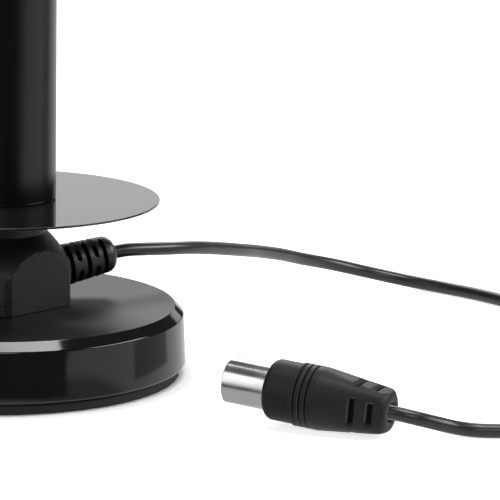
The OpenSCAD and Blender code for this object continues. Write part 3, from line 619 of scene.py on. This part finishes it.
slots = slot_first + slot_pitch * np.arange(slot_count)
edges = (slots[:, None] + np.array([-1, 1]) * slot_w / 2).ravel()
s_near = (edges[:, None] + np.linspace(-slot_reach, slot_reach, slot_steps)).ravel()
s_tip = round_start + tip_round * np.sin(np.linspace(0, np.pi / 2, tip_steps)[:-1])
s_body = np.linspace(relief_start, round_start, body_steps)
s_all = np.unique(np.round(np.concatenate([s_body, s_near, s_tip]), 4))
s_all = s_all[s_all < relief_reach]
relief_angles = 2 * np.pi * np.arange(relief_sides) / relief_sides
body_r = root_r + (tip_r - root_r) * (s_all - taper_start) / (round_start - taper_start)
into_tip = np.clip((s_all - relief_reach + tip_round) / tip_round, 0, 1)
body_r = body_r - tip_round * (1 - np.sqrt(1 - into_tip**2))
depth = np.zeros((len(s_all), len(relief_angles)))
for k, slot_s in enumerate(slots):
    middle = np.pi / 2 if k % 2 == 0 else 0
    off = np.abs(np.angle(np.exp(1j * (relief_angles - middle))))
    off = np.minimum(off, np.pi - off)
    away = boxed(s_all[:, None] - slot_s, off[None] * root_r, slot_w / 2,
                 slot_sweep / 2 * root_r, slot_w / 2 - 0.02)
    depth = np.maximum(depth, eased(0.5 - away / slot_soft))
relief_r = body_r[:, None] - (body_r[:, None] - core_r) * depth
down = np.array([np.sin(relief_tilt), 0, -np.cos(relief_tilt)])
relief_grid = (np.array([0, 0, relief_z]) + s_all[:, None, None] * relief_out
               + relief_r[..., None] * (np.cos(relief_angles)[:, None] * down
                                        + np.sin(relief_angles)[:, None] * [0, 1, 0]))
ends = [np.broadcast_to([0, 0, relief_z] + s * relief_out, (1, len(relief_angles), 3))
        for s in (relief_start, relief_reach)]
relief_rubber = moulded("relief_rubber", dark=(0.01, 0.01, 0.01), light=(0.018, 0.018, 0.018),
                        rough=(0.36, 0.46), grain_size=0.3, grain_depth=0.012, specular=0.5,
                        dust=0.5)
# How deep each point lies in a slot, for the painted shade in the material
relief_painted_shade = np.pad(depth, ((1, 1), (0, 0)))
finished(skin("slotted_relief", np.concatenate([ends[0], relief_grid, ends[1]]), cuts=relief_painted_shade),
         "relief_rubber", relief_rubber, "strain_relief")


# Coil tie
# Flat woven nylon band, wound once round all the turns of the coil and drawn tight. Above it the
# lowest turns rise by its thickness.
tie_sides, tie_low, tie_edge, straight_down = 96, 0.02, 0.12, -0.999
crossings = winding(np.arange(coil_turns) + (tie_at - coil_start) / (2 * np.pi) % 1)
crossing_r = np.hypot(crossings[:, 0] - coil_x, crossings[:, 1] - coil_y)
tie_girth = 2 * np.pi * np.arange(tie_sides) / tie_sides
reach_out = np.stack([np.cos(tie_girth), np.sin(tie_girth)])
support = (np.stack([crossing_r, crossings[:, 2]], 1) @ reach_out).max(axis=0) + lead_d / mm / 2
support = np.where(reach_out[1] < straight_down, -tie_thick, support)
bend = (np.roll(support, -1) - np.roll(support, 1)) / (2 * (tie_girth[1] - tie_girth[0]))
hull_r = support * reach_out[0] - bend * reach_out[1]
hull_z = support * reach_out[1] + bend * reach_out[0]
half_tie = tie_width / 2
across_tie = rounded([(-half_tie + 1, tie_low), (-half_tie, tie_low), (-half_tie, tie_thick),
                      (half_tie, tie_thick), (half_tie, tie_low), (-half_tie + 2, tie_low)],
                     [tie_edge] * 4, hold=0.03)
out_r = hull_r[:, None] + across_tie[:, 1] * reach_out[0][:, None]
out_z = np.maximum(hull_z[:, None] + across_tie[:, 1] * reach_out[1][:, None], tie_low)
tie_dir = np.array([np.cos(tie_at), np.sin(tie_at)])
tie_side = np.array([-np.sin(tie_at), np.cos(tie_at)])
tie_grid = np.stack([coil_x + out_r * tie_dir[0] + across_tie[:, 0] * tie_side[0],
                     coil_y + out_r * tie_dir[1] + across_tie[:, 0] * tie_side[1], out_z], -1)
tie_nylon = moulded("tie_nylon", dark=(0.008, 0.008, 0.0082), light=(0.02, 0.02, 0.0205),
                    rough=(0.6, 0.8), grain_size=0.5, grain_depth=0.05, specular=0.2, dust=0.4)
tie = finished(skin("coil_band", tie_grid, closed=True), "tie_nylon", tie_nylon, "coil_tie")


# Plug sleeve
# Outer contact of the coaxial plug: a sleeve drawn from thin brass, with a rolled front edge and
# bright nickel plating. Its back end is a little narrower, and the grip is moulded round it.
sleeve_r, sleeve_in, sleeve_len, sleeve_seat, sleeve_key = 4.75, 4.15, 9.5, 6, 0.2
sleeve_sides, bore_joint, bore_gap = 160, 8, 0.2
drawn_scale, drawn_depth, metal_dust = 900, 0.002 * mm, 0.1


def on_plug(grid):
    """Points given along the plug, whose third coordinate runs from the front to the tail."""
    down_plug = np.array([-np.sin(plug_dip) * np.cos(plug_turn),
                          -np.sin(plug_dip) * np.sin(plug_turn), -np.cos(plug_dip)])
    side_plug = np.array([-np.sin(plug_turn), np.cos(plug_turn), 0])
    return plug_front + grid @ np.stack([down_plug, side_plug, plug_out])


sleeve_end = sleeve_len + sleeve_seat
sleeve_outline = rounded(
    [(sleeve_in, bore_joint), (sleeve_in, 0), (sleeve_r, 0), (sleeve_r, sleeve_len),
     (sleeve_r - sleeve_key, sleeve_len), (sleeve_r - sleeve_key, sleeve_end),
     (sleeve_in, sleeve_end), (sleeve_in, bore_joint + bore_gap)],
    [0.2, 0.28, 0.05, 0.02, 0.05, 0.05], hold=0.03)


def metal(name, dark, light, rough, patch):
    """Material of a bare metal: a colour that wanders between dark and light, roughness between
    two values in soft patches, and a fine drawn or ground bump."""
    material = bpy.data.materials.new(name)
    material.use_nodes = True
    tree = material.node_tree
    shader = tree.nodes["Principled BSDF"]
    shader.inputs["Metallic"].default_value = 1
    place = node(tree, "TexCoord").outputs["Object"]
    hand = node(tree, "Group", {"Vector": place}, node_tree=touch)
    hand.inputs["Patch"].default_value = patch
    hand.inputs["Dust"].default_value = metal_dust
    tone = blend(tree, hand.outputs["Patches"], (*dark, 1), (*light, 1))
    gloss = ramp(tree, hand.outputs["Patches"], patch_low, patch_high, *rough)
    drawn = node(tree, "TexNoise", {"Vector": place, "Scale": drawn_scale, "Detail": 2})
    bump = node(tree, "Bump", {"Height": drawn.outputs["Fac"], "Distance": drawn_depth})
    tree.links.new(tone, shader.inputs["Base Color"])
    tree.links.new(gloss, shader.inputs["Roughness"])
    tree.links.new(bump.outputs[0], shader.inputs["Normal"])
    return material


nickel = metal("nickel", dark=(0.76, 0.75, 0.73), light=(0.84, 0.83, 0.81), rough=(0.18, 0.26),
               patch=140)
sleeve_grid = on_plug(revolved(sleeve_outline, sleeve_sides))
sleeve = finished(skin("plug_tube", sleeve_grid, closed=True), "nickel", nickel, "plug_sleeve")


# Plug grip
# Black PVC moulded round sleeve and lead: a smooth round front, a ring band with three grooves,
# and a tail that grows square and has two slots across each face.
grip_r, grip_round, band_r, band_at, band_len = 6.4, 1.6, 6.65, 16.1, 5.2
groove_pitch, groove_w, tail_half, tail_round = 1.35, 0.5, 4.1, 1.4
slot_back, slot_len, slot_wide, slot_deep = (3.4, 7.2), (5.2, 6.6), 1.5, 1.3
band_end, end_round, end_over, end_soft = band_at + band_len, 2.6, 1.4, 0.12
band_step, groove_first, groove_soft, slot_corner, slot_edge = 0.16, 0.6, 0.1, 0.5, 0.16
groove_count, bore_r, grip_hole, unlimited = 3, sleeve_r - 0.15, 2.4, 99
# Steps of its mesh: round it, along it, and round its front edge and its end
grip_sides, grip_steps, curl_steps, end_steps = 360, 150, 12, 16
grip_angles = 2 * np.pi * np.arange(grip_sides) / grip_sides
grooves = band_at + groove_first + groove_pitch * np.arange(groove_count)
fine_s = np.concatenate([(np.concatenate([grooves, grooves + groove_w])[:, None]
                          + np.linspace(-0.08, 0.08, 5)).ravel(),
                         ((plug_len - np.array(slot_back))[:, None, None]
                          + np.array([-1, 1])[:, None] * slot_wide / 2
                          + np.linspace(-0.1, 0.1, 7)).ravel(),
                         band_at + np.linspace(-0.12, 0.12, 5), band_end + np.linspace(0, 0.5, 5),
                         plug_len - end_round * (1 - np.sin(np.linspace(0, np.pi / 2, end_steps)))])
even_s = np.linspace(sleeve_len + grip_round + 0.05, plug_len - end_round, grip_steps)
grip_s = np.unique(np.round(np.concatenate([even_s, fine_s]), 4))
share = np.clip((grip_s - band_end) / (plug_len - band_end), 0, 1)[:, None]
fold = np.abs((grip_angles + np.pi / 4) % (np.pi / 2) - np.pi / 4)[None]
half = (tail_half - tail_round) * share
bow = band_r * (1 - share) + tail_round * share
on_flat = (half + bow) / np.cos(fold)
on_corner = half * (np.cos(fold) + np.sin(fold)) + np.sqrt(np.maximum(
    bow**2 - half**2 * (np.cos(fold) - np.sin(fold))**2, 0))
square_r = np.where(on_flat * np.sin(fold) <= half, on_flat, on_corner)
front_r = grip_r + (band_r - grip_r) * eased((grip_s - band_at) / band_step + 0.5)
in_groove = np.max([eased(0.5 - (np.abs(grip_s - g - groove_w / 2) - groove_w / 2) / groove_soft)
                    for g in grooves], axis=0)
front_r = front_r - groove_w * in_groove
grip_radius = np.where(grip_s[:, None] < band_end, front_r[:, None], square_r)
into_end = np.clip((grip_s - plug_len + end_round) / end_round, 0, 1)
end_r = tail_half + end_over - end_round * (1 - np.sqrt(1 - into_end**2))
end_r = np.where(grip_s < plug_len - end_round, unlimited, end_r)[:, None]
grip_radius = softest(grip_radius, end_r, end_soft)
# How deep each point lies in a groove or a slot, for the painted shade in the material
grip_painted_shade = np.where(grip_s < band_end, in_groove, 0)[:, None] + 0 * grip_radius
for back, long in zip(slot_back, slot_len):
    face_half = band_r + (tail_half - band_r) * (plug_len - back - band_end) / (plug_len - band_end)
    across = face_half * np.tan(fold)
    away = boxed(grip_s[:, None] - (plug_len - back), across, slot_wide / 2, long / 2,
                 slot_corner)
    floor_r = (face_half - slot_deep) / np.cos(fold)
    cut_in = eased(0.5 - away / slot_edge)
    grip_radius = grip_radius - np.maximum(grip_radius - floor_r, 0) * cut_in
    grip_painted_shade = np.maximum(grip_painted_shade, cut_in)
nose = rounded([(0, sleeve_end), (bore_r, sleeve_end), (bore_r, sleeve_len + 0.3),
                (sleeve_r + 0.02, sleeve_len)], [0.05, 0.02], hold=0.02)
curl = np.linspace(-np.pi / 2, 0, curl_steps)
nose = np.vstack([nose, np.stack([grip_r - grip_round + grip_round * np.cos(curl),
                                  sleeve_len + grip_round + grip_round * np.sin(curl)], -1)])
last_r = float(grip_radius[-1].min())
hole = rounded([(last_r - 0.05, plug_len), (grip_hole, plug_len),
                (grip_hole, plug_len - tail_recess), (0, plug_len - tail_recess)], [0.2, 0.1],
               hold=0.03)
grip_rows = np.concatenate([nose[:, :1] + 0 * grip_angles, grip_radius,
                            hole[:, :1] + 0 * grip_angles])
grip_z = np.concatenate([nose[:, 1], grip_s, hole[:, 1]])[:, None]
grip_grid = np.stack([grip_rows * np.cos(grip_angles), grip_rows * np.sin(grip_angles),
                      grip_z + 0 * grip_rows], -1)
plug_pvc = moulded("plug_pvc", dark=(0.011, 0.011, 0.011), light=(0.018, 0.018, 0.018),
                   rough=(0.42, 0.52), grain_size=0.3, grain_depth=0.015, specular=0.22, dust=0.5)
grip_painted_shade = np.pad(grip_painted_shade, ((len(nose), len(hole)), (0, 0)))
grip = finished(skin("plug_handle", on_plug(grip_grid), cuts=grip_painted_shade), "plug_pvc", plug_pvc,
                "plug_grip")


# Inner pieces
# What the shell, block, mast and plug hide keeps its shape from the construction and gets the
# material it is made of: zinc plated steel, ferrite, brass, moulded plastic and a board.
zinc_steel = metal("zinc_steel", dark=(0.52, 0.53, 0.55), light=(0.64, 0.65, 0.67),
                   rough=(0.28, 0.4), patch=90)
brass = metal("brass", dark=(0.68, 0.5, 0.24), light=(0.78, 0.61, 0.3), rough=(0.2, 0.34),
              patch=90)
ferrite = moulded("ferrite", dark=(0.07, 0.07, 0.073), light=(0.1, 0.1, 0.105),
                  rough=(0.45, 0.6), grain_size=0.2, grain_depth=0.01, specular=0.5)
inner_plastic = moulded("inner_plastic", dark=(0.02, 0.02, 0.02), light=(0.032, 0.032, 0.032),
                        rough=(0.5, 0.6), grain_size=0.3, grain_depth=0.02, specular=0.4)
white_plastic = moulded("white_plastic", dark=(0.76, 0.76, 0.72), light=(0.84, 0.84, 0.81),
                        rough=(0.35, 0.5), grain_size=0.3, grain_depth=0.008, specular=0.5,
                        dust=0.3)
board = moulded("board", dark=(0.045, 0.16, 0.08), light=(0.065, 0.22, 0.11),
                rough=(0.3, 0.42), grain_size=0.5, grain_depth=0.01, specular=0.5, dust=0.2)
screws = [kind + "_screw_" + str(k) for kind in ("plate", "block") for k in (1, 2, 3)]
for material, names in [(zinc_steel, ["magnet_yoke"] + screws), (ferrite, ["ring_magnet"]),
                        (inner_plastic, ["bottom_plate"]), (board, ["matching_board"]),
                        (brass, ["mast_stud", "stud_nut", "radiator_rod"]),
                        (white_plastic, ["lower_spacer", "upper_spacer", "plug_insulator"]),
                        (lead_pvc, ["feed_lead"]), (nickel, ["plug_pin"])]:
    for name in names:
        for holder in bpy.data.objects[name].material_slots:
            holder.material = material


# Free lead
# The lead with its tie and plug lies free on the table. The photograph is put together from several
# pictures, so the lead and the plug, though not the tie, are not mirrored in the base's glossy
# side.
for free_end in (lead, sleeve, grip, bpy.data.objects["plug_pin"],
                 bpy.data.objects["plug_insulator"]):
    free_end.visible_glossy = False
